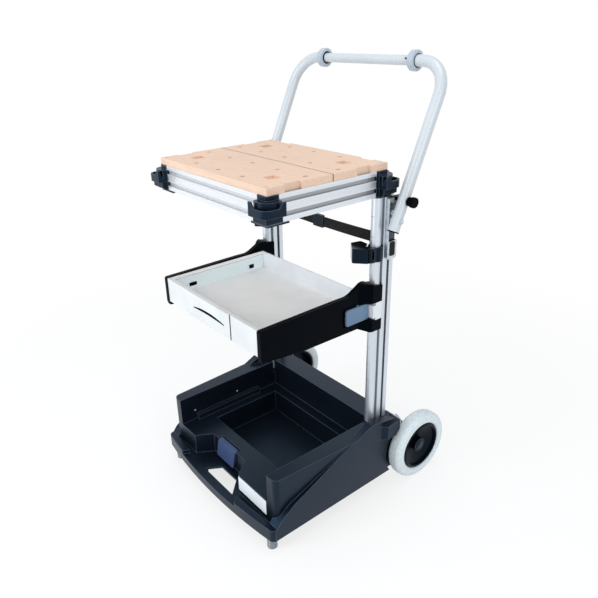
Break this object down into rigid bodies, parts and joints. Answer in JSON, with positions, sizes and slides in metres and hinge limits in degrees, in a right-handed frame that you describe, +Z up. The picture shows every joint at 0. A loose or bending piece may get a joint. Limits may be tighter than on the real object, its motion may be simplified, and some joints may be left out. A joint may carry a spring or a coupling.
{
  "type": "mobile workbench",
  "caption": "Mobile workbench: bench top and height-adjustable drawer on two posts, moulded case base on wheels, folding push handle.",
  "frame": {"origin": "on the floor, in the middle of the object's outline seen from above", "axes": "+X to the right side of the workbench seen from its front, +Y to the back where the wheels and handle are, +Z up"},
  "size_m": [0.599, 0.636, 1.1565],
  "materials": {
    "base_plastic": "satin",
    "black_plastic": "satin",
    "gloss_black": "gloss",
    "white_plastic": "satin",
    "lever_plastic": "satin",
    "foot_plastic": "gloss",
    "anodised_aluminium": "satin",
    "handle_paint": "satin",
    "galvanised_steel": "satin",
    "birch": "satin",
    "tyre_rubber": "matte",
    "rubber": "matte",
    "webbing": "matte"
  },
  "bodies": {
    "frame": {"base_tub": "base_plastic", "front_plate": "white_plastic", "latch_pin": "galvanised_steel", "feet": "foot_plastic", "axle": "galvanised_steel", "axle_brackets": "galvanised_steel", "post_left": "anodised_aluminium", "post_right": "anodised_aluminium", "post_screws": "galvanised_steel", "rail_front": "anodised_aluminium", "rail_rear": "anodised_aluminium", "rail_left": "anodised_aluminium", "rail_right": "anodised_aluminium", "corner_front_left": "black_plastic", "corner_front_right": "black_plastic", "corner_rear_left": "black_plastic", "corner_rear_right": "black_plastic", "board_front_half": "birch", "board_rear_half": "birch", "board_screws": "galvanised_steel", "hinge_bracket_left": "galvanised_steel", "hinge_bracket_right": "galvanised_steel", "bracket_bolts": "galvanised_steel", "bracket_pads": "rubber", "pivot_bolts": "galvanised_steel", "strap": "webbing", "strap_buckle": "black_plastic", "strap_clamp_left": "gloss_black", "strap_clamp_right": "gloss_black"},
    "latch": {"case_latch": "lever_plastic"},
    "wheel_left": {"tyre_left": "tyre_rubber", "rim_left": "black_plastic", "hub_cap_left": "base_plastic"},
    "wheel_right": {"tyre_right": "tyre_rubber", "rim_right": "black_plastic", "hub_cap_right": "base_plastic"},
    "handle": {"handle_left": "handle_paint", "handle_right": "handle_paint", "handle_grip": "handle_paint", "handle_collars": "handle_paint", "handle_plugs": "black_plastic"},
    "knob_left_body": {"knob_left": "black_plastic"},
    "knob_right_body": {"knob_right": "black_plastic"},
    "clamp_lever_left_body": {"clamp_lever_left": "gloss_black"},
    "clamp_lever_right_body": {"clamp_lever_right": "gloss_black"},
    "carrier": {"cheek_left": "black_plastic", "cheek_right": "black_plastic", "carrier_rail": "galvanised_steel", "column_clamp_left": "white_plastic", "column_clamp_right": "white_plastic", "lever_pins": "galvanised_steel", "drawer_runners": "galvanised_steel"},
    "release_lever_left_body": {"release_lever_left": "lever_plastic"},
    "release_lever_right_body": {"release_lever_right": "lever_plastic"},
    "drawer": {"drawer_front": "white_plastic", "drawer_floor": "white_plastic", "drawer_back_panel": "white_plastic", "drawer_sides": "galvanised_steel", "drawer_clips": "black_plastic"}
  },
  "joints": [
    {"name": "wheel_left_spin", "type": "hinge", "parent": "frame", "child": "wheel_left", "pos_m": [-0.2775, 0.2165, 0.1015], "axis": [1, 0, 0], "continuous": true},
    {"name": "wheel_right_spin", "type": "hinge", "parent": "frame", "child": "wheel_right", "pos_m": [0.2775, 0.2165, 0.1015], "axis": [1, 0, 0], "continuous": true},
    {"name": "handle_fold", "type": "hinge", "parent": "frame", "child": "handle", "pos_m": [0, 0.102, 0.792], "axis": [-1, 0, 0], "range_deg": [0, 148]},
    {"name": "knob_left_turn", "type": "hinge", "parent": "handle", "child": "knob_left_body", "pos_m": [-0.29, 0.12221, 0.83697], "axis": [-1, 0, 0], "continuous": true},
    {"name": "knob_right_turn", "type": "hinge", "parent": "handle", "child": "knob_right_body", "pos_m": [0.29, 0.12221, 0.83697], "axis": [1, 0, 0], "continuous": true},
    {"name": "shelf_height", "type": "slide", "parent": "frame", "child": "carrier", "axis": [0, 0, 1], "range_m": [-0.275, 0.05]},
    {"name": "drawer_slide", "type": "slide", "parent": "carrier", "child": "drawer", "axis": [0, -1, 0], "range_m": [0, 0.25]},
    {"name": "release_lever_left_press", "type": "hinge", "parent": "carrier", "child": "release_lever_left_body", "pos_m": [-0.2135, 0.026, 0.5575], "axis": [0, 0, 1], "range_deg": [0, 8], "stiffness_Nm_per_rad": 0.5},
    {"name": "release_lever_right_press", "type": "hinge", "parent": "carrier", "child": "release_lever_right_body", "pos_m": [0.2135, 0.026, 0.5575], "axis": [0, 0, -1], "range_deg": [0, 8], "stiffness_Nm_per_rad": 0.5},
    {"name": "case_latch_turn", "type": "hinge", "parent": "frame", "child": "latch", "pos_m": [-0.042, -0.221, 0.121], "axis": [-1, 0, 0], "range_deg": [0, 25], "stiffness_Nm_per_rad": 0.5},
    {"name": "clamp_lever_left_open", "type": "hinge", "parent": "frame", "child": "clamp_lever_left_body", "pos_m": [-0.2265, 0.052, 0.7075], "axis": [0, 0, -1], "range_deg": [0, 90]},
    {"name": "clamp_lever_right_open", "type": "hinge", "parent": "frame", "child": "clamp_lever_right_body", "pos_m": [0.2265, 0.052, 0.7075], "axis": [0, 0, 1], "range_deg": [0, 90]}
  ]
}
